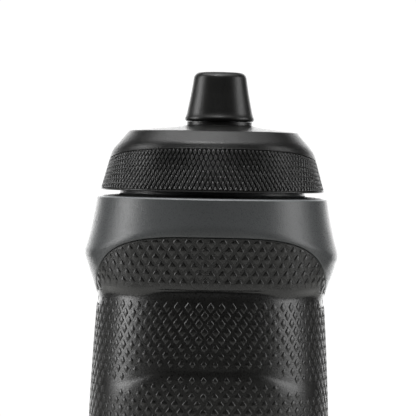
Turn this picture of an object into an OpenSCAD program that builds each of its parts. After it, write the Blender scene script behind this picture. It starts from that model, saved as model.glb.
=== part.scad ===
// Sports squeeze bottle with a screw lid and a push-pull drinking spout.
// Origin: middle of the base, on the surface it stands on. +Z is up, -Y is the front.

/* [Bottle] */
// Largest diameter, at the foot of the shoulder
body_d = 80; // [78:0.5:84]
// Height of the rim where the neck starts
shoulder_top_z = 188; // [186:0.5:192]
// Thickness of the bottle wall behind the grip
wall = 1.6; // [1.2:0.1:2]
// Thickness of the soft grip
grip_t = 1.4; // [1:0.1:1.8]
// Outer diameter of the neck
neck_d = 58.5; // [58:0.1:58.8]
// Height of the neck above the shoulder
neck_h = 13; // [12.5:0.1:13]
// Height of the hollow under the base
push_up = 3; // [2:0.5:4]

/* [Grip outline] */
// Height of the grip's upper edge at the front
grip_top_z = 176.4; // [174:0.1:178]
// Height of the grip's lower edge at the front
grip_bottom_z = 30; // [26:1:34]
// Height of the points where the smooth shoulder tabs end at the sides
tab_tip_z = 157; // [155:0.5:158]
// Height of the points where the smooth base tabs end at the sides
base_tip_z = 46; // [42:1:50]

/* [Lid] */
// Diameter of the lid at its lower edge
lid_d = 71; // [70.6:0.2:72]
// Open gap between the shoulder and the lid
lid_gap = 2; // [1.5:0.1:3]

/* [Thread] */
// Rise of the lid in one full turn
thread_lead = 8; // [7:0.5:9]
// Part of a turn that each thread rib covers
thread_sweep = 270; // [200:10:290]

/* [Spout] */
// Sideways place of the spout on the lid
spout_x = 1.85; // [0:0.05:3]
// Height of the top of the spout above the base
spout_top_z = 227.5; // [227:0.1:228]
// Travel of the spout from shut to open
spout_travel = 5.4; // [4:0.1:5.4]
// Diameter of the drinking hole
drink_hole_d = 6; // [5.4:0.1:7]

/* [Hidden] */
$fn = 128;

body_r = body_d / 2;
neck_r = neck_d / 2;
neck_wall = 2;
neck_top_z = shoulder_top_z + neck_h;
cut_past = 1;

// Bottle profile: heights down the side, and radii set back from the largest one.
rim_round = 1.5;
rim_r = body_r - 3.2;
shoulder_crown = 0.55;
widest_z = 170.4;
waist_z = 155.5;
waist_r = body_r - 4.1;
hip_z = 120;
hip_r = body_r - 2;
low_z = 60;
low_r = body_r - 0.9;
foot_r = body_r - 3.6;
foot_round = 4;
base_band_z = 26;

// Half widths of the grip outline where the smooth tabs come to a point.
tab_half_w = waist_r + 0.1;
base_tab_half_w = low_r - 0.1;

// The front and back are each cut by a cone whose axis is set behind the middle.
facet_back = 4;
facet_top_z = 176.8;
facet_top_r = body_r - 1.45;
facet_waist_z = 159.8;
facet_waist_r = body_r - 4.3;
arch_z = 135;
arch_r = body_r - 3.1;
facet_low_z = 85;
facet_low_r = body_r - 3.7;
facet_end_z = 34;
facet_end_r = body_r - 1.2;

// Lid heights and radii.
lid_r = lid_d / 2;
lid_z = shoulder_top_z + lid_gap;
lid_corner_z = lid_z + 12.3;
lid_corner_r = lid_r - 3.2;
lid_rim_z = lid_z + 19.3;
lid_rim_r = lid_r - 9.3;
lid_top_z = lid_rim_z + 1.5;
lid_boss_r = 10.8;
lid_boss_z = lid_z + 21.8;
boss_flare = 2.2;
lid_under_z = lid_z + 16.4;
collar_bore_r = neck_r + 1.85;
gasket_gap = 0.05;
gasket_t = 1.8;
gasket_inner_r = neck_r - 3.5;
gasket_outer_r = neck_r + 0.45;
gasket_z = neck_top_z + gasket_gap;
seat_z = gasket_z + gasket_t + gasket_gap;

// Thread ribs: two on the neck and two in the lid, half a pitch apart.
thread_starts = 2;
thread_pitch = thread_lead / thread_starts;
rib_root_w = 2.2;
rib_crest_w = 1.2;
rib_sink = 0.4;
neck_rib_h = 1.5;
lid_rib_h = 1.55;
neck_rib_z = lid_z + 2.6;
lid_rib_start = -120;
lid_rib_sweep = 250;
rib_step = 7.5;
rib_fade = 18;

// Parts under the lid, stacked down from its underside.
tower_r = 10.3;
tower_wall = 1.7;
stem_r = 6.4;
stem_bore_r = 5;
seal_t = 1;
flange_t = 1.5;
valve_flange_t = 1.2;
valve_skin_t = 0.7;
retainer_t = 1.8;
retainer_bore_r = 7.4;
stem_seal_z = lid_under_z - seal_t;
flange_z = stem_seal_z - flange_t;
valve_z = flange_z - valve_flange_t;
retainer_z = valve_z - retainer_t;
tower_z = retainer_z - 0.4;
slit_l = 8;
slit_w = 0.4;

// Spout.
slider_z = lid_boss_z + 0.4;
lip_t = 1;
fit_gap = 0.1;
slider_bore_r = 7.05;
slider_r = 8.05;
stop_slope = 0.4;
stop_z = slider_z + lip_t + spout_travel + stop_slope + 0.05;
stop_t = 0.4;
o_ring_r = 0.75;
o_ring_z = stop_z + stop_t + o_ring_r;
o_ring_track_r = slider_bore_r - 0.05 - o_ring_r;
groove_r = o_ring_track_r - o_ring_r;
land_r = slider_bore_r - 0.15;
stem_top_z = o_ring_z + o_ring_r + 0.8;
plug_r = 2.4;
window_w = 1.8;
plug_top_z = stem_top_z + 4.6;
ceiling_z = stem_top_z + 0.9;
slider_top_z = ceiling_z + 1.4;
spout_lip_r = 11.05;
spout_lip_round = 0.7;
spout_lip_z = lid_boss_z + 0.2;
spout_edge = 2.1;
spout_shoulder_r = 8.4;
drink_r = drink_hole_d / 2;

// How far up a grip edge stands at x, as a share of its full height.
function edge_share(x, half_w) = pow(max(0, 1 - pow(abs(x) / half_w, 3.6)), 1 / 3);

// Quarter arc from angle a0 to a1 about [cx, cy].
function arc(cx, cy, r, a0, a1, n = 8) =
    [for (i = [0:n]) let (a = a0 + (a1 - a0) * i / n) [cx + r * cos(a), cy + r * sin(a)]];

// Half outline of the bottle from the base to the shoulder rim, pulled in by the inset.
module side_outline(inset) {
    r_in = foot_round - inset > 0.5 ? foot_round - inset : 0.5;
    polygon(concat(
        [[0, inset]],
        arc(foot_r - inset - r_in, inset + r_in, r_in, -90, 0),
        [[body_r - 1 - inset, base_band_z],
         [low_r - inset, low_z],
         [hip_r - inset, hip_z],
         [waist_r + 0.95 - inset, 143],
         [waist_r - inset, waist_z + 0.5],
         [waist_r + 0.35 - inset, 157.8]],
        arc(body_r - 1.5 - inset, widest_z, 1.5, -16, 12),
        [[body_r - 2.3 - inset, 178],
         [body_r - 3.1 - inset, 184]],
        arc(rim_r - rim_round - inset, shoulder_top_z - rim_round - inset, rim_round, 0, 84),
        [[neck_r, shoulder_top_z + shoulder_crown - inset], [0, shoulder_top_z + shoulder_crown - inset]]
    ));
}

// Half outline of the front cut, drawn about its own axis.
module facet_outline(inset) {
    lift = facet_back - inset;
    polygon([
        [0, -cut_past],
        [body_r + 8, -cut_past],
        [body_r + 8, facet_end_z - 20],
        [facet_end_r + lift, facet_end_z],
        [facet_low_r + 0.7 + lift, facet_low_z - 30],
        [facet_low_r + lift, facet_low_z],
        [arch_r + lift, arch_z],
        [facet_waist_r + 0.15 + lift, facet_waist_z - 5],
        [facet_waist_r + lift, facet_waist_z],
        [facet_top_r + lift, facet_top_z],
        [body_r + 8, facet_top_z + 8],
        [body_r + 8, shoulder_top_z + cut_past],
        [0, shoulder_top_z + cut_past]
    ]);
}

// The whole bottle shape below the neck, with its front and back cuts.
module body_form(inset) {
    intersection() {
        rotate_extrude() side_outline(inset);
        translate([0, facet_back, 0]) rotate_extrude() facet_outline(inset);
        translate([0, -facet_back, 0]) rotate_extrude() facet_outline(inset);
    }
}

// The area that the grip covers, seen from the front and cut right through.
module grip_area() {
    steps = 24;
    top_xs = [for (i = [-steps:steps]) tab_half_w * sin(90 * i / steps)];
    base_xs = [for (i = [-steps:steps]) base_tab_half_w * sin(90 * i / steps)];
    rotate([90, 0, 0]) linear_extrude(height = body_d + 20, center = true) polygon(concat(
        [[-body_r - 5, tab_tip_z]],
        [for (x = top_xs) [x, tab_tip_z + (grip_top_z - tab_tip_z) * edge_share(x, tab_half_w)]],
        [[body_r + 5, tab_tip_z], [body_r + 5, base_tip_z]],
        [for (i = [2 * steps:-1:0]) let (x = base_xs[i])
            [x, base_tip_z - (base_tip_z - grip_bottom_z) * edge_share(x, base_tab_half_w)]],
        [[-body_r - 5, base_tip_z]]
    ));
}

// One helical rib. The side is 1 for a rib on a shaft and -1 for a rib in a bore.
module thread_rib(root_r, height, side, z0, a0, sweep) {
    n = round(sweep / rib_step);
    function fade(i) = min(1, min(i, n - i) * sweep / n / rib_fade + 0.05);
    function ring(i) = let (
        a = a0 + sweep * i / n,
        z = z0 + thread_lead * a / 360,
        h = height * fade(i)
    ) [
        for (p = [[-rib_sink, -rib_root_w / 2], [h, -rib_crest_w / 2],
                  [h, rib_crest_w / 2], [-rib_sink, rib_root_w / 2]])
            [(root_r + side * p[0]) * cos(a), (root_r + side * p[0]) * sin(a), z + p[1]]
    ];
    points = [for (i = [0:n]) each ring(i)];
    walls = [for (i = [0:n - 1]) for (k = [0:3]) let (b = i * 4, m = (k + 1) % 4)
        each [[b + k, b + m, b + 4 + m], [b + k, b + 4 + m, b + 4 + k]]];
    ends = [[3, 2, 1], [3, 1, 0], [n * 4, n * 4 + 1, n * 4 + 2], [n * 4, n * 4 + 2, n * 4 + 3]];
    faces = concat(walls, ends);
    flipped = [for (f = faces) [f[2], f[1], f[0]]];
    polyhedron(points, side > 0 ? faces : flipped);
}

module bottle_body() color([0.16, 0.165, 0.165]) {
    difference() {
        union() {
            difference() {
                body_form(0);
                intersection() {
                    difference() {
                        translate([0, 0, grip_bottom_z - 5])
                            cylinder(r = body_r + 5, h = grip_top_z - grip_bottom_z + 10);
                        body_form(grip_t);
                    }
                    grip_area();
                }
            }
            translate([0, 0, shoulder_top_z - 4]) rotate_extrude() polygon(concat(
                [[neck_r - 6, 0], [neck_r, 0]],
                arc(neck_r - 0.6, neck_h + 4 - 0.6, 0.6, 0, 90, 4),
                arc(neck_r - neck_wall + 0.6, neck_h + 4 - 0.6, 0.6, 90, 180, 4),
                [[neck_r - neck_wall, 2], [neck_r - 6, 2]]
            ));
            for (k = [0:thread_starts - 1]) rotate([0, 0, 360 * k / thread_starts])
                thread_rib(neck_r, neck_rib_h, 1, neck_rib_z, 0, thread_sweep);
        }
        body_form(grip_t + wall);
        translate([0, 0, shoulder_top_z - 10]) cylinder(r = neck_r - neck_wall, h = neck_h + 20);
        translate([0, 0, -cut_past]) cylinder(r1 = foot_r - 7.5 + cut_past, r2 = foot_r - 10,
            h = push_up - 1.2 + cut_past);
    }
}

module grip_sleeve() color([0.10, 0.10, 0.098]) {
    intersection() {
        difference() {
            body_form(0);
            body_form(grip_t);
        }
        grip_area();
    }
}

module lid_shell() color([0.09, 0.09, 0.09]) {
    difference() {
        union() {
            rotate_extrude() polygon(concat(
                [[0, lid_under_z], [gasket_inner_r - 1, lid_under_z], [gasket_inner_r - 1, seat_z],
                 [gasket_outer_r + 0.15, seat_z], [gasket_outer_r + 0.15, seat_z - 1.2],
                 [collar_bore_r, seat_z - 3], [collar_bore_r, lid_z]],
                arc(lid_r - 0.6, lid_z + 0.6, 0.6, -90, 0, 4),
                [[lid_r - 0.1, lid_z + 1]],
                arc(lid_corner_r - 1.2, lid_corner_z - 0.9, 1.2, 14, 41, 4),
                arc(lid_rim_r - 0.95, lid_rim_z - 0.9, 0.9, 41, 80, 4),
                [[lid_boss_r, lid_top_z], [0, lid_top_z]]
            ));
            translate([spout_x, 0, 0]) {
                rotate_extrude() polygon(concat(
                    [[0, lid_rim_z - 1], [lid_boss_r + boss_flare, lid_rim_z - 1]],
                    arc(lid_boss_r + boss_flare + 0.4, lid_boss_z + 1.35, boss_flare + 0.7, 262, 207, 6),
                    [[0, lid_boss_z]]
                ));
                translate([0, 0, tower_z])
                    cylinder(r = tower_r + tower_wall, h = lid_under_z - tower_z + 0.5);
            }
            for (k = [0:thread_starts - 1]) rotate([0, 0, 360 * k / thread_starts])
                thread_rib(collar_bore_r, lid_rib_h, -1, neck_rib_z + thread_pitch / 2,
                    lid_rib_start, lid_rib_sweep);
        }
        translate([spout_x, 0, 0]) {
            translate([0, 0, lid_under_z - 20]) cylinder(r = stem_r, h = 40);
            translate([0, 0, tower_z - cut_past]) cylinder(r = tower_r, h = lid_under_z - tower_z + cut_past);
        }
    }
}

module lid_gasket() color([0.75, 0.76, 0.76]) {
    translate([0, 0, gasket_z]) difference() {
        cylinder(r = gasket_outer_r, h = gasket_t);
        translate([0, 0, -cut_past]) cylinder(r = gasket_inner_r, h = gasket_t + 2 * cut_past);
    }
}

module spout_stem() color([0.12, 0.12, 0.12]) {
    translate([spout_x, 0, 0]) difference() {
        rotate_extrude() polygon(concat(
            [[0, flange_z], [tower_r, flange_z], [tower_r, flange_z + flange_t],
             [stem_r, flange_z + flange_t], [stem_r, stop_z - stop_slope], [land_r, stop_z],
             [land_r, stop_z + stop_t], [groove_r, stop_z + stop_t],
             [groove_r, stop_z + stop_t + 2 * o_ring_r], [land_r, stop_z + stop_t + 2 * o_ring_r],
             [land_r, stem_top_z - 0.4], [land_r - 0.4, stem_top_z], [plug_r, stem_top_z]],
            arc(plug_r - 0.8, plug_top_z - 0.8, 0.8, 0, 90, 4),
            [[0, plug_top_z]]
        ));
        translate([0, 0, flange_z - cut_past])
            cylinder(r = stem_bore_r, h = stem_top_z - 1.4 - flange_z + cut_past);
        for (a = [0, 120, 240]) rotate([0, 0, a]) translate([0, 0, stem_top_z - 3])
            rotate_extrude(angle = 88) translate([plug_r + 0.5, 0]) square([window_w, 4]);
    }
}

module stem_seal() color([0.75, 0.76, 0.76]) {
    translate([spout_x, 0, stem_seal_z]) difference() {
        cylinder(r = tower_r, h = seal_t);
        translate([0, 0, -cut_past]) cylinder(r = stem_r, h = seal_t + 2 * cut_past);
    }
}

module slit_valve() color([0.85, 0.86, 0.86]) {
    dish_r = 14;
    skin_z = valve_z + 0.2;
    translate([spout_x, 0, 0]) difference() {
        union() {
            difference() {
                translate([0, 0, valve_z]) cylinder(r = tower_r, h = valve_flange_t);
                translate([0, 0, valve_z - cut_past])
                    cylinder(r = retainer_bore_r - 0.8, h = valve_flange_t + 2 * cut_past);
            }
            translate([0, 0, skin_z]) cylinder(r = retainer_bore_r, h = valve_skin_t);
        }
        translate([0, 0, skin_z + 0.35 + dish_r]) sphere(r = dish_r);
        for (a = [0, 90]) rotate([0, 0, a])
            translate([-slit_l / 2, -slit_w / 2, valve_z - cut_past]) cube([slit_l, slit_w, 4]);
    }
}

module valve_retainer() color([0.12, 0.12, 0.12]) {
    translate([spout_x, 0, retainer_z]) difference() {
        cylinder(r = tower_r, h = retainer_t);
        translate([0, 0, -cut_past]) cylinder(r = retainer_bore_r, h = retainer_t + 2 * cut_past);
        for (a = [0, 180]) rotate([0, 0, a])
            translate([retainer_bore_r - 1, -1.2, -cut_past]) cube([2.2, 2.4, 1 + cut_past]);
    }
}

module spout_o_ring() color([0.1, 0.1, 0.1]) {
    translate([spout_x, 0, o_ring_z]) rotate_extrude()
        translate([o_ring_track_r, 0]) circle(r = o_ring_r, $fn = 24);
}

module spout_slider() color([0.12, 0.12, 0.12]) {
    translate([spout_x, 0, 0]) rotate_extrude() polygon([
        [stem_r + fit_gap, slider_z], [slider_r + 1, slider_z], [slider_r + 1, slider_z + 1.2],
        [slider_r, slider_z + 1.2], [slider_r - 0.3, slider_top_z], [plug_r + fit_gap, slider_top_z],
        [plug_r + fit_gap, ceiling_z], [slider_bore_r - 0.8, ceiling_z], [slider_bore_r, ceiling_z - 0.8],
        [slider_bore_r, slider_z + lip_t], [stem_r + fit_gap, slider_z + lip_t]
    ]);
}

module spout_nozzle() color([0.11, 0.11, 0.108]) {
    translate([spout_x, 0, 0]) difference() {
        rotate_extrude() polygon(concat(
            [[0, spout_lip_z]],
            [[spout_lip_r - 1.2, spout_lip_z]],
            arc(spout_lip_r - spout_lip_round, spout_lip_z + spout_lip_round, spout_lip_round, -80, 12, 6),
            [[10.27, 216.4], [9.23, 221.4]],
            arc(spout_shoulder_r - spout_edge, spout_top_z - spout_edge, spout_edge, 10, 90, 8),
            [[0, spout_top_z]]
        ));
        translate([0, 0, spout_lip_z - cut_past]) cylinder(r = slider_r + 1, h = slider_z + 1.2 - spout_lip_z + cut_past);
        translate([0, 0, slider_z]) rotate_extrude() polygon([
            [0, -cut_past], [slider_r, -cut_past], [slider_r, 1.2],
            [slider_r - 0.3, slider_top_z - slider_z], [0, slider_top_z - slider_z]
        ]);
        translate([0, 0, slider_top_z - cut_past]) cylinder(r = drink_r, h = 10);
        translate([0, 0, spout_top_z - 0.6]) cylinder(r1 = drink_r, r2 = drink_r + 1.2, h = 1.2);
    }
}

bottle_body();
grip_sleeve();
lid_shell();
lid_gasket();
spout_stem();
stem_seal();
slit_valve();
valve_retainer();
spout_o_ring();
spout_slider();
spout_nozzle();
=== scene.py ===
"""Sports squeeze bottle: detailed meshes, materials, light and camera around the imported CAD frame."""

import math

import bmesh
import bpy
import numpy as np
from mathutils import Matrix, Vector
from mathutils.geometry import delaunay_2d_cdt


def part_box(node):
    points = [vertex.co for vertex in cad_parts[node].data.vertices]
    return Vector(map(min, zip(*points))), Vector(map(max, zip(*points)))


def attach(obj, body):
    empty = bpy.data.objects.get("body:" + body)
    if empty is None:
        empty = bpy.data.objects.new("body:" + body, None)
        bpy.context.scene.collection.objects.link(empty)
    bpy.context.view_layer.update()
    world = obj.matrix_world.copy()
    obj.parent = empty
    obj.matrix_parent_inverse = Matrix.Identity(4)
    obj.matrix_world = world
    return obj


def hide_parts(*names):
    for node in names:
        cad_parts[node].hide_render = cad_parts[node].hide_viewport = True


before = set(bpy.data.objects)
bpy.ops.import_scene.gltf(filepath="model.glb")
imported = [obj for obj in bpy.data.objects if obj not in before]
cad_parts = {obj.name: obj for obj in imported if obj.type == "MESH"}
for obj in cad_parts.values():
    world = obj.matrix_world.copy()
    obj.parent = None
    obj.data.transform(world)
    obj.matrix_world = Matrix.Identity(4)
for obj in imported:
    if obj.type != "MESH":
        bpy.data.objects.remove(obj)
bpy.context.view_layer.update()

MM = 0.001
TAU = 2 * math.pi


# ---------------------------------------------------------------- driving sizes, in millimetres
def node_box_mm(node):
    """The lowest and the highest corner of a CAD node."""
    return [[v / MM for v in corner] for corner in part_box(node)]


BODY_HIGH = node_box_mm("bottle_body")[1]
GRIP_LOW, GRIP_HIGH = node_box_mm("grip_sleeve")
LID_HIGH = node_box_mm("lid_shell")[1]
NOZZLE_LOW, NOZZLE_HIGH = node_box_mm("spout_nozzle")
SLIDER_TOP = node_box_mm("spout_slider")[1][2]
GASKET_TOP = node_box_mm("lid_gasket")[1][2]

BODY_R = BODY_HIGH[0]
NECK_TOP = BODY_HIGH[2]
NECK_H = 13.0
NECK_R = 29.25
NECK_WALL = 2.0
RIM_Z = NECK_TOP - NECK_H
GRIP_TOP = GRIP_HIGH[2]
GRIP_BOTTOM = GRIP_LOW[2]
GRIP_T = 1.4
BODY_WALL = 3.0
# The grip's edges are arches: the height of their tips at the sides, and the half width that they span.
TAB_TIP_Z = RIM_Z - 31
TAB_HALF_W = BODY_R - 4.0
BASE_TIP_Z = 46.0
BASE_TAB_HALF_W = BODY_R - 1.0
PART_GAP = 0.28

LID_R = LID_HIGH[0]
LID_GAP = 2.0
LID_Z = RIM_Z + LID_GAP
LID_TOP = LID_HIGH[2]
SPOUT_X = (NOZZLE_LOW[0] + NOZZLE_HIGH[0]) / 2
SPOUT_TOP = NOZZLE_HIGH[2]

THREAD_LEAD = 8.0
THREAD_STARTS = 2
THREAD_PITCH = THREAD_LEAD / THREAD_STARTS
THREAD_LOW_Z = LID_Z + 2.6


# ---------------------------------------------------------------- small maths helpers
def smooth_min(a, b, k):
    """The lower of a and b, rounded where they cross within k."""
    h = np.clip(0.5 + 0.5 * (b - a) / k, 0, 1)
    return b + (a - b) * h - k * h * (1 - h)


def smooth_max(a, b, k):
    """The higher of a and b, rounded where they cross within k."""
    return -smooth_min(-a, -b, k)


def smooth_step(x, low, high):
    """A soft rise from 0 to 1 as x goes from low to high."""
    t = np.clip((x - low) / (high - low), 0, 1)
    return t * t * (3 - 2 * t)


def curve_through(points):
    """A smooth function through (x, y) points, with no overshoot between them."""
    xs, ys = (np.array(c, float) for c in zip(*sorted(points)))
    steps = np.diff(xs)
    slopes = np.diff(ys) / steps
    tangents = np.concatenate([[slopes[0]], (slopes[:-1] + slopes[1:]) / 2, [slopes[-1]]])
    tangents[1:-1][slopes[:-1] * slopes[1:] <= 0] = 0

    def value(x):
        x = np.clip(np.asarray(x, float), xs[0], xs[-1])
        i = np.clip(np.searchsorted(xs, x, "right") - 1, 0, len(steps) - 1)
        t = (x - xs[i]) / steps[i]
        a, b = ys[i], ys[i + 1]
        m, n = tangents[i] * steps[i], tangents[i + 1] * steps[i]
        t2, t3 = t * t, t * t * t
        return a * (2 * t3 - 3 * t2 + 1) + m * (t3 - 2 * t2 + t) + b * (3 * t2 - 2 * t3) + n * (t3 - t2)

    return value


def arc(cx, cz, r, a0, a1, n):
    """Points of an arc in degrees, as (radius, height)."""
    return [(cx + r * math.cos(math.radians(a)), cz + r * math.sin(math.radians(a)))
            for a in np.linspace(a0, a1, n + 1)]


def off_centre(r_front, shift, theta):
    """Radius at theta of a circle that is set back by shift and crosses the front at r_front."""
    r = r_front + shift
    return -shift * np.abs(np.cos(theta)) + np.sqrt(r * r - (shift * np.sin(theta)) ** 2)


# ---------------------------------------------------------------- the bottle's surface
# theta is 0 at the front, which is -Y, and grows towards +X.
SHOULDER_TOP_Z = RIM_Z - 3.4
SHOULDER_TOP_R = BODY_R - 3.15
SHOULDER_SLOPE = 0.1585
SHOULDER_BOW = 0.0052
SIDE_EDGE_Z = 167.6
SIDE_EDGE_R = BODY_R - 0.6
SIDE_SLOPE = 0.328
FACET_EDGE_Z = GRIP_TOP + 2.7
FACET_EDGE_R = BODY_R - 2.12
FACET_SLOPE = 0.123
FACET_SHIFT = 5.6
LOW_FACET_SHIFT = 2.0
# Radius of the lower part at its sides and at its front, at each height.
lower_side = curve_through([
    (20, BODY_R - 1.45), (30, BODY_R - 1.3), (60, BODY_R - 1.3), (95, BODY_R - 1.6), (120, BODY_R - 2.1),
    (136, BODY_R - 2.85), (150, BODY_R - 3.7), (157, BODY_R - 4.25), (165, BODY_R - 4.9),
    (188, BODY_R - 6.7)])
lower_front = curve_through([
    (20, BODY_R + 3), (34, BODY_R - 0.6), (44, BODY_R - 2.2), (60, BODY_R - 3.0), (90, BODY_R - 3.3),
    (112, BODY_R - 3.1), (128, BODY_R - 2.97), (136, BODY_R - 2.9), (150, BODY_R - 1.4), (188, BODY_R + 8)])


# The crease is where the facets end over the lower part, with a groove under it that fades at the sides.
CREASE_Z = RIM_Z - 27.9
CREASE_SIDE_DROP = 3.6
CREASE_DEPTH = 0.50
CREASE_FADE = (0.35, 0.65)
GROOVE_W_ABOVE = 0.35
GROOVE_W_BELOW = 1.6
STEP_LOW = -0.5
STEP_HIGH = 0.4
STEP_SIDE_DROP = 2.2

# Two smooth strips cross the grip, each along an arch: the height of its middle and its turn.
ARCHES = ((135.5, 1), (56.0, -1))
ARCH_FLAT_HALF_W = 16.0
ARCH_FALL = 0.36
ARCH_ROUND = 1.6
COVE_DEPTH = 0.34
COVE_LIFT = 0.6
COVE_W_ABOVE = 9.0
COVE_W_BELOW = 1.5
COVE_FADE = (0.55, 0.85)


def arch_height(theta, peak_z, turn):
    """Middle of a smooth strip: flat in front, then falling (turn 1) or rising (turn -1) at its ends."""
    x = np.abs(BODY_R * np.sin(theta))
    return peak_z - turn * smooth_max(ARCH_FALL * (x - ARCH_FLAT_HALF_W), 0.0, ARCH_ROUND)


def arch_cove(theta, z):
    """Depth of the cove along each smooth strip: soft above, steep below, fading out at the sides."""
    depth = 0.0
    for peak_z, turn in ARCHES:
        above = z - arch_height(theta, peak_z, turn) - COVE_LIFT
        depth = depth + COVE_DEPTH * np.exp(-(above / np.where(above < 0, COVE_W_BELOW, COVE_W_ABOVE)) ** 2)
    return depth * (1 - smooth_step(np.abs(np.sin(theta)), *COVE_FADE))


def upper_radius(theta, z):
    """The shoulder, the sides and the undercut facets below the shoulder."""
    below = SHOULDER_TOP_Z - z
    shoulder = SHOULDER_TOP_R + SHOULDER_SLOPE * below + SHOULDER_BOW * below * below
    side = SIDE_EDGE_R - SIDE_SLOPE * (SIDE_EDGE_Z - z)
    front = off_centre(FACET_EDGE_R - FACET_SLOPE * (FACET_EDGE_Z - z), FACET_SHIFT, theta)
    return smooth_min(smooth_min(shoulder, side, 0.4), front, 0.42)


def lower_radius(theta, z):
    """The grip's round sides, its flatter front and back, and the coves along its strips."""
    front = off_centre(lower_front(z), LOW_FACET_SHIFT, theta)
    return smooth_min(lower_side(z), front, 0.2) - arch_cove(theta, z)


def crease_height(theta):
    """Height at which the upper part ends over the lower: level over the facets, lower at the sides."""
    return CREASE_Z - CREASE_SIDE_DROP * smooth_step(np.abs(np.sin(theta)), 0.88, 1.0)


def body_radius(theta, z):
    """Radius of the bottle's outer surface, between the base band and the shoulder."""
    above = z - crease_height(theta)
    aside = smooth_step(np.abs(np.sin(theta)), *CREASE_FADE)
    groove_w = np.where(above < 0, GROOVE_W_BELOW, GROOVE_W_ABOVE)
    groove = CREASE_DEPTH * (1 - aside) * np.exp(-(above / groove_w) ** 2)
    share = smooth_step(above, STEP_LOW - STEP_SIDE_DROP * aside, STEP_HIGH)
    blend = lower_radius(theta, z) * (1 - share) + upper_radius(theta, z) * share
    return np.minimum(blend - groove, BODY_R - 0.01)


def edge_share(x, half_w):
    """Share of an edge's rise left at x: a flat-topped arch that comes down to 0 at half_w."""
    return np.clip(1 - np.power(np.abs(x) / half_w, 3.6), 0, None) ** (1 / 3)


def edge_line(tip_z, peak_z, half_w):
    """A grip edge as a function of theta: a flat-topped arch in the front view.

    The arch is a curve over x, so the angle at each x is found in a few rounds from the surface's radius."""
    xs = half_w * np.sin(np.linspace(0, math.pi / 2, 400))
    zs = tip_z + (peak_z - tip_z) * edge_share(xs, half_w)
    angles = np.full_like(xs, 0.5)
    for _ in range(8):
        angles = np.arcsin(np.clip(xs / body_radius(angles, zs), 0, 1))
    keep = np.concatenate([[True], np.diff(np.maximum.accumulate(angles)) > 1e-6])

    def value(theta):
        folded = np.abs((np.asarray(theta, float) + math.pi / 2) % math.pi - math.pi / 2)
        return np.interp(folded, angles[keep], zs[keep])

    return value


grip_top = edge_line(TAB_TIP_Z, GRIP_TOP, TAB_HALF_W)
grip_bottom = edge_line(BASE_TIP_Z, GRIP_BOTTOM, BASE_TAB_HALF_W)


# ---------------------------------------------------------------- mesh helpers
class Shape:
    """Collects points and faces, then makes one object with its doubles merged."""

    def __init__(self):
        self.points = []
        self.faces = []

    def add(self, points, faces):
        base = len(self.points)
        self.points.extend(points)
        self.faces.extend([[base + i for i in f] for f in faces])

    def loft(self, rings, closed_profile=False):
        """Joins columns of points, one for each angle right round, all with the same number of rows."""
        n, m = len(rings), len(rings[0])
        flat = [p for column in rings for p in column]
        rows = m if closed_profile else m - 1
        faces = [[i * m + j, (i + 1) % n * m + j, (i + 1) % n * m + (j + 1) % m, i * m + (j + 1) % m]
                 for i in range(n) for j in range(rows)]
        self.add(flat, faces)

    def make(self, name, sharp_deg):
        """The object in metres, smooth except at edges sharper than sharp_deg."""
        mesh = bpy.data.meshes.new(name)
        mesh.from_pydata([tuple(c * MM for c in p) for p in self.points], [], self.faces)
        bm = bmesh.new()
        bm.from_mesh(mesh)
        bmesh.ops.remove_doubles(bm, verts=bm.verts, dist=2e-6)
        bmesh.ops.dissolve_degenerate(bm, edges=bm.edges, dist=1e-7)
        bmesh.ops.recalc_face_normals(bm, faces=bm.faces)
        bm.to_mesh(mesh)
        bm.free()
        mesh.shade_smooth()
        mesh.set_sharp_from_angle(angle=math.radians(sharp_deg))
        obj = bpy.data.objects.new(name, mesh)
        bpy.context.scene.collection.objects.link(obj)
        return obj


def polar(theta, r, z, cx=0.0):
    """The point at radius r and height z, from the vertical line through cx."""
    return (cx + r * math.sin(theta), -r * math.cos(theta), z)


def revolve(shape, profile, n, cx):
    """Turns a closed profile of (radius, height) about the vertical line through cx."""
    shape.loft([[polar(TAU * k / n, r, z, cx) for r, z in profile] for k in range(n)], closed_profile=True)


RIB_STEP_DEG = 4
RIB_FADE_DEG = 18


def thread_rib(shape, root_r, height, side, z0, a0, sweep):
    """One helical rib: side is 1 on a shaft and -1 in a bore. Angles in degrees run as the thread does."""
    n = round(sweep / RIB_STEP_DEG)
    rings = []
    for i in range(n + 1):
        a = a0 + sweep * i / n
        z = z0 + THREAD_LEAD * a / 360
        fade = min(1.0, min(i, n - i) * sweep / n / RIB_FADE_DEG)
        h = height * math.sin(fade * math.pi / 2)
        lower_half = [(-0.4, -1.15), (0.0, -1.1), (h * 0.8, -0.7), (h, -0.5)]
        section = lower_half + [(d, -w) for d, w in reversed(lower_half)]
        rings.append([((root_r + side * d) * math.cos(math.radians(a)),
                       (root_r + side * d) * math.sin(math.radians(a)), z + w) for d, w in section])
    m = len(rings[0])
    flat = [p for ring in rings for p in ring]
    faces = [[i * m + j, (i + 1) * m + j, (i + 1) * m + (j + 1) % m, i * m + (j + 1) % m]
             for i in range(n) for j in range(m)]
    faces += [list(range(m))[::-1], [n * m + j for j in range(m)]]
    shape.add(flat, faces)


def add_thread(shape, *rib_sizes):
    """Adds the thread's starts, each a turned copy of the same rib."""
    rib = Shape()
    thread_rib(rib, *rib_sizes)
    for k in range(THREAD_STARTS):
        turn = Matrix.Rotation(TAU * k / THREAD_STARTS, 3, "Z")
        shape.add([tuple(turn @ Vector(p)) for p in rib.points], rib.faces)


def clip(polygon, keep):
    """The part of a convex polygon where keep(point) is not negative."""
    out = []
    for p, q in zip(polygon, polygon[1:] + polygon[:1]):
        a, b = keep(p), keep(q)
        if a >= 0:
            out.append(p)
        if a * b < 0:
            t = a / (a - b)
            out.append((p[0] + (q[0] - p[0]) * t, p[1] + (q[1] - p[1]) * t))
    return out


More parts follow.
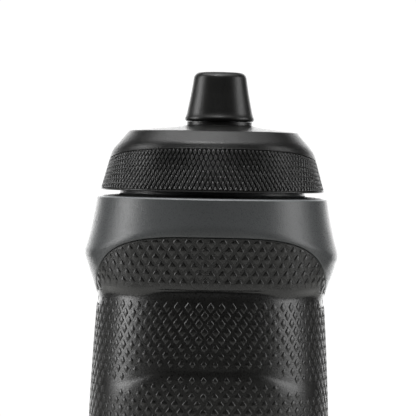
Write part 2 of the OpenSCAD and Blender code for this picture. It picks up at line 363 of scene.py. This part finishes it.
# A diamond is a stack of outlines: the scale of each, its lift, and its distance to the skin's borders.
GRIP_STACK = [(1.0, 0.0, 0.30), (0.82, 0.80, 0.44), (0.68, 1.0, 0.54)]
LID_STACK = [(1.0, 0.0, 0.05), (0.80, 0.78, 0.12), (0.62, 0.97, 0.24), (0.34, 1.0, 0.40)]
SMALLEST_SHARE = 0.35
ON_SEAM = 1e-7
# Points that are not part of a diamond keep these distances to the borders.
GUIDE_MARGIN = 0.4
CORNER_MARGIN = 0.5
BARE_MARGIN = 0.8


def diamond_skin(span, columns, rows, row_z, borders, outline, stack, size, height, radius, edge_n,
                 guides=()):
    """A skin with raised diamonds over the angles of span, between the two height lines of borders.

    columns is the number of diamonds across the span, row_z(theta, row) the height of a row, outline the
    corners of a diamond in half cells, stack its outlines from the foot up, and size(theta, z) the share of
    its cell that a diamond takes. height is a diamond's own, and radius(theta, z) the skin's under it. The
    borders have edge_n edges, and edges are laid along the height lines in guides.
    Returns points (theta, z, r) and faces."""
    a0, a1 = span
    low_line, high_line = borders
    pitch = (a1 - a0) / columns
    points, lifts, edges = [], [], []
    seams = {a0: set(), a1: set()}

    def put(theta, z, lift):
        points.append((theta * BODY_R, z))
        lifts.append(lift)
        for seam, chain in seams.items():
            if abs(theta - seam) < ON_SEAM:
                chain.add(len(points) - 1)
        return len(points) - 1

    def on_same_seam(i, j):
        return any(i in chain and j in chain for chain in seams.values())

    thetas = np.linspace(a0, a1, edge_n + 1)
    for line in borders:
        chain = [put(t, float(line(t)), 0.0) for t in thetas]
        edges += list(zip(chain[:-1], chain[1:]))
    for line in guides:
        last = None
        for t in thetas[1:-1]:
            z = float(line(t))
            if float(low_line(t)) + GUIDE_MARGIN < z < float(high_line(t)) - GUIDE_MARGIN:
                point = put(t, z, 0.0)
                edges += [(last, point)] if last is not None else []
                last = point
            else:
                last = None

    for row in range(rows + 1):
        shift = 0.5 * (row % 2)
        for i in range(columns + 1):
            theta = a0 + (i + 0.5 - shift) * pitch
            if theta > a1 + ON_SEAM:
                continue
            z = float(row_z(theta, row))
            half_z = abs(float(row_z(theta, row + 1)) - z)
            low, high = float(low_line(theta)), float(high_line(theta))
            if z + half_z < low or z - half_z > high:
                continue
            share = float(size(theta, z))
            if share > SMALLEST_SHARE:
                for scale, lift, margin in stack:
                    ring = [(theta + share * scale * u * pitch / 2, z + share * scale * v * half_z)
                            for u, v in outline]
                    ring = clip(ring, lambda p: high_line(p[0]) - margin - p[1])
                    ring = clip(ring, lambda p: p[1] - margin - low_line(p[0]))
                    ring = clip(clip(ring, lambda p: p[0] - a0), lambda p: a1 - p[0])
                    if len(ring) < 3:
                        break
                    loop = [put(*p, lift) for p in ring]
                    edges += [e for e in zip(loop, loop[1:] + loop[:1]) if not on_same_seam(*e)]
            elif low + BARE_MARGIN < z < high - BARE_MARGIN and a0 + ON_SEAM < theta < a1 - ON_SEAM:
                put(theta, z, 0.0)
            corner = theta + pitch / 2
            corner_low, corner_high = float(low_line(corner)), float(high_line(corner))
            if corner < a1 - ON_SEAM and corner_low + CORNER_MARGIN < z < corner_high - CORNER_MARGIN:
                put(corner, z, 0.0)

    for chain in seams.values():
        ordered = sorted(chain, key=lambda k: points[k][1])
        edges += list(zip(ordered[:-1], ordered[1:]))
    made, _, faces, origin, _, _ = delaunay_2d_cdt([Vector(p) for p in points], edges, [], 1, 1e-7, True)
    out = []
    for v, source in zip(made, origin):
        theta = v.x / BODY_R
        lift = max([lifts[k] for k in source], default=0.0)
        out.append((theta, v.y, float(radius(theta, v.y)) + lift * height))
    return out, [list(f) for f in faces]


# ---------------------------------------------------------------- materials
CLOUD_MM = 14.0
NOISE_LOW = 0.3
NOISE_HIGH = 0.7
SPECK_SHARE = 0.6
ROUGHNESS_SPREAD = 0.07
# Painted highlight along the shoulder's rim: how far, in mm, its lightened base colour rises and falls off.
RIM_HIGHLIGHT_RISE = 0.3
RIM_HIGHLIGHT_FALL = 0.1


def map_range(tree, value, start, end, low, high, interpolation="LINEAR"):
    """A value that goes from low to high as the given one goes from start to end."""
    node = tree.nodes.new("ShaderNodeMapRange")
    node.interpolation_type = interpolation
    node.inputs["From Min"].default_value = start
    node.inputs["From Max"].default_value = end
    node.inputs["To Min"].default_value = low
    node.inputs["To Max"].default_value = high
    tree.links.new(value, node.inputs["Value"])
    return node.outputs["Result"]


def math_node(tree, operation, first, second):
    """The operation's value for two linked values."""
    node = tree.nodes.new("ShaderNodeMath")
    node.operation = operation
    tree.links.new(first, node.inputs[0])
    tree.links.new(second, node.inputs[1])
    return node.outputs["Value"]


def scale_node(tree, factor):
    """A node that multiplies a colour by the factor."""
    node = tree.nodes.new("ShaderNodeVectorMath")
    node.operation = "SCALE"
    tree.links.new(factor, node.inputs["Scale"])
    return node


def material(name, color, roughness, grain_mm, grain_depth, mottle, specular=0.5, transmission=0.0):
    """A moulded plastic or rubber with a fine grain and soft variation of its colour and polish."""
    mat = bpy.data.materials.new(name)
    mat.use_nodes = True
    tree = mat.node_tree
    shader = tree.nodes["Principled BSDF"]
    shader.inputs["Specular IOR Level"].default_value = specular
    shader.inputs["Transmission Weight"].default_value = transmission
    place = tree.nodes.new("ShaderNodeTexCoord")

    def noise(scale_mm, detail):
        node = tree.nodes.new("ShaderNodeTexNoise")
        node.inputs["Scale"].default_value = 1 / (scale_mm * MM)
        node.inputs["Detail"].default_value = detail
        tree.links.new(place.outputs["Object"], node.inputs["Vector"])
        return node.outputs["Fac"]

    cloud = noise(CLOUD_MM, 3.0)
    fine = noise(grain_mm, 2.0)
    tint = map_range(tree, cloud, 0, 1, 1 - mottle, 1 + mottle)
    speck = map_range(tree, fine, NOISE_LOW, NOISE_HIGH, 1 - mottle * SPECK_SHARE, 1 + mottle * SPECK_SHARE)
    shade = scale_node(tree, math_node(tree, "MULTIPLY", tint, speck))
    shade.inputs[0].default_value = color
    tree.links.new(shade.outputs["Vector"], shader.inputs["Base Color"])

    polish = map_range(tree, fine, NOISE_LOW, NOISE_HIGH,
                       roughness - ROUGHNESS_SPREAD, roughness + ROUGHNESS_SPREAD)
    tree.links.new(polish, shader.inputs["Roughness"])

    bump = tree.nodes.new("ShaderNodeBump")
    bump.inputs["Strength"].default_value = 1.0
    bump.inputs["Distance"].default_value = grain_depth * MM
    tree.links.new(fine, bump.inputs["Height"])
    tree.links.new(bump.outputs["Normal"], shader.inputs["Normal"])
    return mat


def paint_rim_highlight(mat, low, high, gain):
    """Painted highlight: lightens the base colour of the thin edge between two heights in mm, standing in
    for a bright reflection along the rim.
    """
    tree = mat.node_tree
    place = tree.nodes.new("ShaderNodeTexCoord")
    split = tree.nodes.new("ShaderNodeSeparateXYZ")
    tree.links.new(place.outputs["Object"], split.inputs["Vector"])
    rise = map_range(tree, split.outputs["Z"], low * MM, (low + RIM_HIGHLIGHT_RISE) * MM, 1.0, gain)
    fall = map_range(tree, split.outputs["Z"], high * MM, (high + RIM_HIGHLIGHT_FALL) * MM, 1.0, 1 / gain)
    color = tree.nodes["Principled BSDF"].inputs["Base Color"]
    shade = scale_node(tree, math_node(tree, "MULTIPLY", rise, fall))
    tree.links.new(color.links[0].from_socket, shade.inputs[0])
    tree.links.new(shade.outputs["Vector"], color)


BODY_PLASTIC = material("satin_shoulder_plastic", (0.072, 0.0758, 0.0775), roughness=0.31,
                        grain_mm=0.36, grain_depth=0.060, mottle=0.10)
GRIP_RUBBER = material("soft_grip_rubber", (0.0042, 0.0041, 0.0036), roughness=0.31,
                       grain_mm=0.36, grain_depth=0.040, mottle=0.12, specular=0.72)
LID_PLASTIC = material("moulded_lid_plastic", (0.0045, 0.0045, 0.0042), roughness=0.34,
                       grain_mm=0.36, grain_depth=0.055, mottle=0.12)
SPOUT_RUBBER = material("spout_soft_plastic", (0.006, 0.006, 0.0056), roughness=0.36,
                        grain_mm=0.34, grain_depth=0.030, mottle=0.08)
INNER_PLASTIC = material("inner_black_plastic", (0.028, 0.028, 0.028), roughness=0.38,
                         grain_mm=0.5, grain_depth=0.02, mottle=0.08)
SILICONE = material("milky_silicone", (0.62, 0.63, 0.62), roughness=0.36,
                    grain_mm=0.6, grain_depth=0.02, mottle=0.05, specular=0.4, transmission=0.25)
SEAL_RUBBER = material("seal_black_rubber", (0.016, 0.016, 0.016), roughness=0.5,
                       grain_mm=0.4, grain_depth=0.02, mottle=0.10, specular=0.4)
# Painted highlight: the base colour along the shoulder's rim edge is lightened to stand in for its bright
# reflection.
paint_rim_highlight(BODY_PLASTIC, RIM_Z - 0.5, RIM_Z + 0.02, gain=3.2)


def finish_piece(obj, mat, body, node):
    """Gives a piece its material and its moving body, and hides the CAD node that it stands in for."""
    obj.data.materials.append(mat)
    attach(obj, body)
    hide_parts(node)


# ---------------------------------------------------------------- bottle body
BODY_COLUMNS = 400
SHOULDER_CROWN = 0.55
SHOULDER_ROUND = 0.65
NECK_ROUND = 0.6
FOOT_R = BODY_R - 3.6
FOOT_ROUND = 4.0
BASE_DISH_Z = 1.8
FLOOR_TOP_Z = 3.3
INSIDE_ROUND = 6.0
INSIDE_TOP_Z = RIM_Z - 5.5
SHOULDER_WALL_EXTRA = 1.2
BAND_ROWS = 24
GRIP_SEAT_ROWS = 26
SHOULDER_ROWS = 40
INSIDE_ROWS = 44
# The band's and the shoulder's edges roll in to the grip's seat: each point's inset and its distance to it.
EDGE_ROLL = ((0.02, 0.25), (0.10, 0.08), (0.30, 0.0))
base_band = curve_through([
    (FOOT_ROUND, FOOT_R + 0.05), (12, BODY_R - 2.4), (20, BODY_R - 1.25), (24, BODY_R - 1.05)])


def foot_profile():
    """The push-up base and the ring that the bottle stands on, from the axis outwards."""
    out = [(0.0, BASE_DISH_Z), (FOOT_R - 10.5, BASE_DISH_Z)]
    out += arc(FOOT_R - 10.5, 1.0, 0.8, 90, 20, 4)
    out += [(FOOT_R - 8.4, 0.5)]
    out += arc(FOOT_R - 7.2, 0.9, 0.9, 210, 270, 4)
    out += arc(FOOT_R - FOOT_ROUND, FOOT_ROUND, FOOT_ROUND, 270, 352, 10)
    return out


def neck_profile():
    """The crowned shoulder top, then up the neck, over its rim and down its bore."""
    out = [(NECK_R + 3.0, RIM_Z + SHOULDER_CROWN * 0.7)]
    out += arc(NECK_R + NECK_ROUND, RIM_Z + SHOULDER_CROWN + NECK_ROUND, NECK_ROUND, 270, 180, 5)
    out += arc(NECK_R - NECK_ROUND, NECK_TOP - NECK_ROUND, NECK_ROUND, 0, 90, 5)
    out += arc(NECK_R - NECK_WALL + NECK_ROUND, NECK_TOP - NECK_ROUND, NECK_ROUND, 90, 180, 5)
    out += [(NECK_R - NECK_WALL, RIM_Z - 2.2), (NECK_R - NECK_WALL, RIM_Z - 3.2)]
    return out


def body_column(theta):
    """The outline of the bottle at one angle, from the base outside to the base inside."""
    z_low, z_high = float(grip_bottom(theta)), float(grip_top(theta))

    def outer(z):
        return float(body_radius(theta, z))

    out = foot_profile()
    for z in np.linspace(5.5, z_low - 0.5, BAND_ROWS):
        share = float(smooth_step(z, 16.0, 24.0))
        out.append((float(base_band(z)) * (1 - share) + outer(z) * share, float(z)))
    r = outer(z_low)
    out += [(r - inset, z_low - away) for inset, away in EDGE_ROLL] + [(r - GRIP_T, z_low)]
    for z in np.linspace(z_low + 1, z_high - 1, GRIP_SEAT_ROWS):
        out.append((outer(z) - GRIP_T, float(z)))
    r = outer(z_high)
    out += [(r - GRIP_T, z_high)] + [(r - inset, z_high + away) for inset, away in reversed(EDGE_ROLL)]
    z_start = z_high + 0.6
    z_round = RIM_Z - SHOULDER_ROUND
    for z in z_start + (z_round - z_start) * np.linspace(0, 1, SHOULDER_ROWS) ** 1.25:
        out.append((outer(z), float(z)))
    out += arc(outer(z_round) - SHOULDER_ROUND, z_round, SHOULDER_ROUND, 10, 85, 8)
    out += neck_profile()
    for z in np.linspace(INSIDE_TOP_Z, 12, INSIDE_ROWS):
        wall = BODY_WALL + SHOULDER_WALL_EXTRA * float(smooth_step(z, INSIDE_TOP_Z - 6.5, INSIDE_TOP_Z))
        out.append((min(outer(z), BODY_R - 1.3) - wall, float(z)))
    out += arc(out[-1][0] - INSIDE_ROUND, FLOOR_TOP_Z + 5.9, INSIDE_ROUND, -5, -90, 8)
    out += [(FOOT_R - 14.0, FLOOR_TOP_Z), (0.0, FLOOR_TOP_Z)]
    return out


def make_body():
    """The bottle as one wall, outside and inside, with the thread's ribs on its neck."""
    shape = Shape()
    columns = [TAU * k / BODY_COLUMNS for k in range(BODY_COLUMNS)]
    shape.loft([[polar(t, r, z) for r, z in body_column(t)] for t in columns])
    add_thread(shape, NECK_R, 1.5, 1, THREAD_LOW_Z, 0, 270)
    return shape.make("bottle_shell", 30)


finish_piece(make_body(), BODY_PLASTIC, "bottle", "bottle_body")


# ---------------------------------------------------------------- soft grip
GRIP_COLUMNS = 66
GRIP_ROW = 2.45
ROW_START = 2.35
GRIP_INSIDE_ROWS = 30
GRIP_DIAMOND = [(0, 1), (0.9, 0.12), (0.9, -0.12), (0, -1), (-0.9, -0.12), (-0.9, 0.12)]
DIAMOND_H = 0.24
GRIP_HALF_EDGES = 200
STRIP_HALF_H = 2.1
STRIP_SIDES = (1.05, 1.3)
FAR = 30
# Distances above the crease and above the middle of an arch: no diamonds there, and edges laid there.
CREASE_CLEAR = (-2.9, 1.2)
CREASE_LINES = (0.75, 0.4, 0.2, 0.0, -0.25, -0.5, -1.0, -1.6, -2.4, -3.2)
ARCH_LINES = (0.7, 0.3, -0.1, -0.5, -0.9)
ARCH_LINE_REACH = 1.0
NO_LINE_Z = -1.0


def grip_base(theta, z):
    """The surface between the diamonds, which end a little proud of the bottle's own."""
    return body_radius(theta, z) - DIAMOND_H * 0.8


def to_strip(theta, z):
    """Distance to the nearer smooth strip. The strips fade out at the sides."""
    gap = np.minimum(*(np.abs(z - arch_height(theta, *arch)) for arch in ARCHES))
    return gap + FAR * smooth_step(np.abs(theta), *STRIP_SIDES)


def grip_size(theta, z):
    """Share of its cell that a diamond takes: smaller beside the strips, none on them or on the crease."""
    gap = to_strip(theta, z)
    share = 0.54 + 0.16 * smooth_step(gap, 2.0, 14.0)
    above_crease = z - crease_height(theta)
    on_crease = (above_crease > CREASE_CLEAR[0]) & (above_crease < CREASE_CLEAR[1])
    return np.where((gap < STRIP_HALF_H) | on_crease, 0.0, share)


def guide_lines():
    """Height lines along the crease, and along each strip as far to the sides as ARCH_LINE_REACH."""
    def along_crease(above):
        return lambda theta: crease_height(theta) + above

    def along_arch(arch, above):
        return lambda theta: arch_height(theta, *arch) + above if abs(theta) < ARCH_LINE_REACH else NO_LINE_Z

    lines = [along_crease(above) for above in CREASE_LINES]
    lines += [along_arch(arch, above) for arch in ARCHES for above in ARCH_LINES]
    return lines


def make_grip():
    """The sleeve: a front skin, its copy turned to the back, and the smooth inside."""
    shape = Shape()

    def top(t):
        return grip_top(t) - PART_GAP

    def bottom(t):
        return grip_bottom(t) + PART_GAP

    def row_z(theta, row):
        return GRIP_BOTTOM - ROW_START + row * GRIP_ROW

    rows = round((GRIP_TOP - GRIP_BOTTOM) / GRIP_ROW) + 2
    skin, faces = diamond_skin((-math.pi / 2, math.pi / 2), GRIP_COLUMNS // 2, rows, row_z, (bottom, top),
                               GRIP_DIAMOND, GRIP_STACK, grip_size, DIAMOND_H, grip_base, GRIP_HALF_EDGES,
                               guide_lines())
    for turn in (0, math.pi):
        shape.add([polar(t + turn, r, z) for t, z, r in skin], faces)
    rings = []
    for t in np.linspace(-math.pi, math.pi, 2 * GRIP_HALF_EDGES + 1)[:-1]:
        z0, z1 = float(bottom(t)), float(top(t))
        ring = [(float(grip_base(t, z0)), z0)]
        ring += [(float(body_radius(t, z)) - GRIP_T + 0.05, float(z))
                 for z in np.linspace(z0, z1, GRIP_INSIDE_ROWS)]
        ring += [(float(grip_base(t, z1)), z1)]
        rings.append([polar(t, r, z) for r, z in ring])
    shape.loft(rings)
    return shape.make("grip_skin", 30)


finish_piece(make_grip(), GRIP_RUBBER, "bottle", "grip_sleeve")


# ---------------------------------------------------------------- lid
LID_COLUMNS = 138
LID_SIDES = 2 * LID_COLUMNS
LID_ROWS = 7.5
LID_DIAMOND = [(0, 1), (1, 0), (0, -1), (-1, 0)]
LID_DIAMOND_H = 0.50
LID_DIAMOND_SIZE = 0.97
KNURL_BOTTOM = LID_Z + 0.6
SKIRT_FOOT_R = LID_R - 0.1
BEVEL_LOW_R = LID_R - 3.4
BEVEL_LOW_Z = LID_Z + 12.3
BEVEL_RUN = 0.869
CORNER_LOW_Z = LID_Z + 11.95
CORNER_RISE = 3.2
BEVEL_TOP_Z = LID_Z + 18.5
LID_RIM_ROUND = 0.8
BOSS_R = 10.3
TOP_SLOPE = 0.1
TOP_ROWS = 26
STEM_HOLE_R = 6.45
UNDER_Z = LID_Z + 16.4
TOWER_Z = LID_Z + 10.5
TOWER_R = 12.0
TOWER_BORE_R = 10.3
SEAT_R = 24.75
GASKET_ROOM_R = 29.85
COLLAR_R = NECK_R + 1.85


def bevel_radius(z):
    """The bevel is a plain cone."""
    return BEVEL_LOW_R - BEVEL_RUN * (z - BEVEL_LOW_Z)


def corner_height(theta):
    """Height where the skirt meets the bevel: level over the front and the back, lower at the sides."""
    return CORNER_LOW_Z + CORNER_RISE * np.sqrt(1 - 0.97 * np.sin(theta) ** 6)


def knurl_top(theta):
    """The smooth strip between the knurl and the corner is a little wider at the sides."""
    return corner_height(theta) - 1.95 - 0.75 * np.sin(theta) ** 2


def skirt_radius(theta, z):
    """The skirt is straight from its foot to the corner at every angle."""
    z_corner = corner_height(theta)
    return SKIRT_FOOT_R - (SKIRT_FOOT_R - bevel_radius(z_corner)) * (z - LID_Z) / (z_corner - LID_Z)


def knurl_radius(theta, z):
    """The knurl's grooves are cut into the skirt, so its diamonds end flush with the smooth strips."""
    return skirt_radius(theta, z) - LID_DIAMOND_H


def lid_outside(theta):
    """From the knurl's top over the corner and up the bevel to the rim, as (radius, height)."""
    z_corner = float(corner_height(theta))
    round_h = 0.55 + 1.0 * math.sin(theta) ** 2
    z_knurl = float(knurl_top(theta))
    out = [(float(knurl_radius(theta, z_knurl)), z_knurl)]
    out += [(float(skirt_radius(theta, z_knurl)) - 0.03, z_knurl + 0.12)]
    out += [(float(skirt_radius(theta, z)), float(z))
            for z in np.linspace(z_knurl + 0.25, z_corner - round_h, 4)]
    start = np.array(out[-1])
    end = np.array([bevel_radius(z_corner + round_h), z_corner + round_h])
    middle = np.array([bevel_radius(z_corner), z_corner])
    for s in np.linspace(0, 1, 8)[1:]:
        out.append(tuple((1 - s) ** 2 * start + 2 * s * (1 - s) * middle + s * s * end))
    out += [(bevel_radius(z), float(z)) for z in np.linspace(z_corner + round_h, BEVEL_TOP_Z, 9)[1:]]
    out += arc(bevel_radius(BEVEL_TOP_Z) - 0.6, BEVEL_TOP_Z - 0.52, LID_RIM_ROUND, 49, 84, 5)[1:]
    return out


def lid_top(theta, r_rim, z_rim):
    """From the rim across the shallow cone of the top to the flared collar under the spout, as points."""
    out = []
    for step in np.linspace(0, 1, TOP_ROWS)[1:]:
        s = 1 - (1 - step) ** 1.6
        r = r_rim + (BOSS_R - r_rim) * s
        cone = z_rim + TOP_SLOPE * (r_rim - r)
        flare = 0.45 * math.exp(-(r - BOSS_R) / 1.3)
        out.append(polar(theta, r, cone + flare, SPOUT_X * s))
    return out


def lid_inside(theta):
    """From the top of the collar in through the spout's hole and round the underside to the bottom edge."""
    seat = GASKET_TOP + 0.05
    out = [polar(theta, r, z, SPOUT_X) for r, z in (
        (BOSS_R, LID_TOP), (STEM_HOLE_R, LID_TOP), (STEM_HOLE_R, UNDER_Z), (TOWER_BORE_R, UNDER_Z),
        (TOWER_BORE_R, TOWER_Z), (TOWER_R, TOWER_Z), (TOWER_R, UNDER_Z))]
    foot = float(skirt_radius(theta, LID_Z))
    out += [polar(theta, r, z) for r, z in (
        (SEAT_R, UNDER_Z), (SEAT_R, seat), (GASKET_ROOM_R, seat), (GASKET_ROOM_R, seat - 1.2),
        (COLLAR_R, seat - 3), (COLLAR_R, LID_Z + 0.6), (COLLAR_R + 0.6, LID_Z), (foot - 1.2, LID_Z))]
    round_r = 0.35
    r_low = float(skirt_radius(theta, LID_Z + round_r))
    out += [polar(theta, r, z) for r, z in arc(r_low - round_r, LID_Z + round_r, round_r, 270, 355, 4)]
    out += [polar(theta, float(skirt_radius(theta, KNURL_BOTTOM - 0.1)), KNURL_BOTTOM - 0.1)]
    out += [polar(theta, float(knurl_radius(theta, KNURL_BOTTOM)), KNURL_BOTTOM)]
    return out


def make_lid():
    """The lid: the knurled skirt, the smooth rest of its wall, and the thread's ribs in its collar."""
    shape = Shape()

    def bottom(t):
        return KNURL_BOTTOM

    def row_z(t, row):
        return KNURL_BOTTOM + (knurl_top(t) - KNURL_BOTTOM) * row / LID_ROWS

    def size(t, z):
        return LID_DIAMOND_SIZE

    skin, faces = diamond_skin((-math.pi, math.pi), LID_COLUMNS, math.ceil(LID_ROWS), row_z,
                               (bottom, knurl_top), LID_DIAMOND, LID_STACK, size, LID_DIAMOND_H,
                               knurl_radius, LID_SIDES)
    shape.add([polar(t, r, z) for t, z, r in skin], faces)
    rings = []
    for t in np.linspace(-math.pi, math.pi, LID_SIDES + 1)[:-1]:
        outside = lid_outside(t)
        ring = [polar(t, r, z) for r, z in outside]
        ring += lid_top(t, *outside[-1])
        ring += lid_inside(t)
        rings.append(ring)
    shape.loft(rings)
    add_thread(shape, COLLAR_R, 1.55, -1, THREAD_LOW_Z + THREAD_PITCH / 2, -120, 250)
    return shape.make("lid_cover", 30)


finish_piece(make_lid(), LID_PLASTIC, "lid", "lid_shell")


# ---------------------------------------------------------------- spout nozzle
NOZZLE_SIDES = 192
LIP_ROUND = 0.8
TIP_R = 8.4
TIP_ROUND = 2.2
DRINK_HOLE_R = 3.0
DRINK_HOLE_ROUND = 0.9
SLIDER_R = 8.05
INNER_LIP_R = 9.1


def make_nozzle():
    """A hollow cone over the slider, with a rounded lip and a dished drinking hole."""
    shape = Shape()
    lip_z = NOZZLE_LOW[2]
    lip_r = NOZZLE_HIGH[0] - SPOUT_X
    outer = curve_through([
        (lip_z + LIP_ROUND, lip_r - 0.1), (lip_z + 1.1, lip_r - 0.16), (lip_z + 1.6, 10.66),
        (lip_z + 2.2, 10.44), (SPOUT_TOP - 11.1, 9.98), (SPOUT_TOP - 8.6, 9.49), (SPOUT_TOP - 6.1, 9.03),
        (SPOUT_TOP - 3.5, 8.62), (SPOUT_TOP - 2.1, TIP_R)])
    z_low = lip_z + LIP_ROUND + 0.1
    z_high = SPOUT_TOP - TIP_ROUND
    profile = [(INNER_LIP_R, lip_z + 0.02)]
    profile += arc(lip_r - 0.1 - LIP_ROUND, lip_z + LIP_ROUND, LIP_ROUND, -88, 0, 8)
    profile += [(float(outer(z)), float(z)) for z in z_low + (z_high - z_low) * np.linspace(0, 1, 34) ** 1.4]
    profile += arc(TIP_R - TIP_ROUND, z_high, TIP_ROUND, 10, 86, 10)[1:]
    profile += [(DRINK_HOLE_R + 1.9, SPOUT_TOP)]
    profile += arc(DRINK_HOLE_R + DRINK_HOLE_ROUND, SPOUT_TOP - DRINK_HOLE_ROUND, DRINK_HOLE_ROUND,
                   92, 180, 8)
    profile += [(DRINK_HOLE_R, SLIDER_TOP + 0.03), (SLIDER_R - 0.3, SLIDER_TOP + 0.03),
                (SLIDER_R + 0.02, lip_z + 1.4), (INNER_LIP_R - 0.02, lip_z + 1.4)]
    revolve(shape, profile, NOZZLE_SIDES, SPOUT_X)
    return shape.make("spout_cone", 35)


finish_piece(make_nozzle(), SPOUT_RUBBER, "spout", "spout_nozzle")


# ---------------------------------------------------------------- carried-over CAD nodes
CARRIED_MATERIALS = {
    "lid_gasket": SILICONE, "stem_seal": SILICONE, "slit_valve": SILICONE, "spout_stem": INNER_PLASTIC,
    "valve_retainer": INNER_PLASTIC, "spout_slider": INNER_PLASTIC, "spout_o_ring": SEAL_RUBBER}
for node_name, node_material in CARRIED_MATERIALS.items():
    node_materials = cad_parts[node_name].data.materials
    node_materials.clear()
    node_materials.append(node_material)


# ---------------------------------------------------------------- camera
EYE = (-0.00132, -0.734, 0.2008)
LOOK_DOWN_DEG = 1.27
ROLL_DEG = 1.0


def make_camera():
    """A long lens in front, level with the lid and looking slightly down."""
    camera = bpy.data.cameras.new("camera")
    camera.sensor_width = 36.0
    camera.lens = 200.3
    camera.clip_start = 0.05
    obj = bpy.data.objects.new("camera", camera)
    bpy.context.scene.collection.objects.link(obj)
    tilt = Matrix.Rotation(math.radians(90 - LOOK_DOWN_DEG), 4, "X")
    roll = Matrix.Rotation(math.radians(ROLL_DEG), 4, "Z")
    obj.matrix_world = Matrix.Translation(EYE) @ tilt @ roll
    bpy.context.scene.camera = obj


make_camera()


# ---------------------------------------------------------------- studio
TARGET = (0, 0, 0.17)
LIGHT_DISTANCE = 0.95


def from_target(azimuth, elevation, distance):
    """A place seen from the target at an azimuth from the front, positive towards +X, and an elevation."""
    a, e = math.radians(azimuth), math.radians(elevation)
    level = distance * math.cos(e)
    rise = distance * math.sin(e)
    return (TARGET[0] + level * math.sin(a), TARGET[1] - level * math.cos(a), TARGET[2] + rise)


def soft_box(name, azimuth, elevation, width, height, power):
    """A rectangular area light that faces the target."""
    light = bpy.data.lights.new(name, "AREA")
    light.shape = "RECTANGLE"
    light.size, light.size_y = width, height
    light.energy = power
    obj = bpy.data.objects.new(name, light)
    place = from_target(azimuth, elevation, LIGHT_DISTANCE)
    aim = (Vector(TARGET) - Vector(place)).to_track_quat("-Z", "Y")
    obj.matrix_world = Matrix.Translation(place) @ aim.to_matrix().to_4x4()
    bpy.context.scene.collection.objects.link(obj)


soft_box("left_box", -92, 13, 0.34, 0.62, 4.1)
soft_box("right_box", 85, 13, 0.44, 0.62, 3.2)
soft_box("top_box", -12, 82, 1.30, 0.35, 3.6)
soft_box("strip_box", -16, 62, 0.60, 0.06, 3.6)
soft_box("high_left_box", -110, 56, 0.50, 0.30, 0.9)
soft_box("high_right_box", 112, 56, 0.50, 0.30, 0.35)

FLOOR_R = 0.72
FLOOR_Y = -0.10
FLOOR_SIDES = 96


def make_floor():
    """A plain pale disc under the bottle."""
    mesh = bpy.data.meshes.new("floor")
    angles = [TAU * k / FLOOR_SIDES for k in range(FLOOR_SIDES)]
    rim = [(FLOOR_R * math.cos(a), FLOOR_Y + FLOOR_R * math.sin(a), 0) for a in angles]
    mesh.from_pydata(rim, [], [list(range(FLOOR_SIDES))])
    floor = bpy.data.objects.new("floor", mesh)
    bpy.context.scene.collection.objects.link(floor)
    pale = bpy.data.materials.new("pale_floor")
    pale.use_nodes = True
    shader = pale.node_tree.nodes["Principled BSDF"]
    shader.inputs["Base Color"].default_value = (0.60, 0.60, 0.58, 1)
    shader.inputs["Roughness"].default_value = 0.6
    mesh.materials.append(pale)


def make_world():
    """White to the camera. It lights the bottle mostly from overhead and from behind."""
    world = bpy.data.worlds.new("studio")
    bpy.context.scene.world = world
    world.use_nodes = True
    tree = world.node_tree
    tree.nodes.clear()
    output = tree.nodes.new("ShaderNodeOutputWorld")
    coords = tree.nodes.new("ShaderNodeTexCoord")
    split = tree.nodes.new("ShaderNodeSeparateXYZ")
    tree.links.new(coords.outputs["Generated"], split.inputs["Vector"])

    def background():
        node = tree.nodes.new("ShaderNodeBackground")
        node.inputs["Color"].default_value = (1, 1, 1, 1)
        return node

    overhead = map_range(tree, split.outputs["Z"], 0.64, 1.0, 0.03, 0.85, "SMOOTHSTEP")
    behind = map_range(tree, split.outputs["Y"], 0.74, 0.98, 0.0, 3.0, "SMOOTHSTEP")
    dim = background()
    tree.links.new(math_node(tree, "MAXIMUM", overhead, behind), dim.inputs["Strength"])
    white = background()
    white.inputs["Strength"].default_value = 1.05
    ray = tree.nodes.new("ShaderNodeLightPath")
    mix = tree.nodes.new("ShaderNodeMixShader")
    tree.links.new(ray.outputs["Is Camera Ray"], mix.inputs["Fac"])
    tree.links.new(dim.outputs["Background"], mix.inputs[1])
    tree.links.new(white.outputs["Background"], mix.inputs[2])
    tree.links.new(mix.outputs["Shader"], output.inputs["Surface"])


make_floor()
make_world()
bpy.context.scene.view_settings.view_transform = "Standard"
